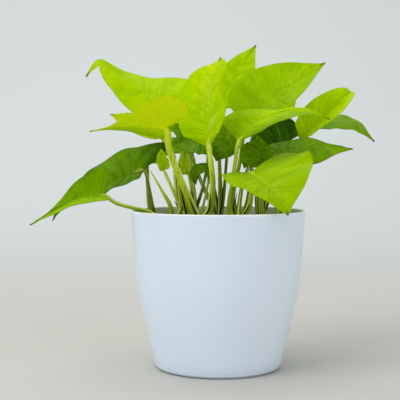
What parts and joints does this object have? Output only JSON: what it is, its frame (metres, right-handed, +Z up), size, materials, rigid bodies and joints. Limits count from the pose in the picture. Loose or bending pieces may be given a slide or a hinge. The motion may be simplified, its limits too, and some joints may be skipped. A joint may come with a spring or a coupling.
{
  "type": "potted trailing plant",
  "caption": "Bushy heart-leaved pothos plant with lime and green waxy leaves on slender stalks, rooted in a filled, gloss white tapered round planter.",
  "frame": {"origin": "centre of the pot's flat foot, level with the surface that it stands on", "axes": "+Z up along the pot's axis, -Y towards the front as pictured, +X to the right of the picture"},
  "size_m": [0.2983, 0.1882, 0.2841],
  "materials": {
    "pot": "gloss white",
    "soil": "matt, crumbly potting mix of peat and bark",
    "leaf_lime": "waxy young lime leaf, semi-gloss",
    "leaf_green": "waxy leaf, semi-gloss",
    "leaf_dark": "waxy older leaf, semi-gloss"
  },
  "bodies": {
    "root": {"pot": "pot", "soil": "soil", "leafy_stem_left_front": "leaf_green", "leafy_stem_left_back": "leaf_dark", "leafy_stem_centre_front": "leaf_lime", "leafy_stem_centre_left": "leaf_lime", "leafy_stem_centre_back": "leaf_lime", "leafy_stem_right_front": "leaf_lime", "leafy_stem_right_low": "leaf_dark", "leafy_stem_right_centre": "leaf_green", "leafy_stem_far_right": "leaf_green", "leafy_stem_back_right": "leaf_green"}
  },
  "joints": []
}
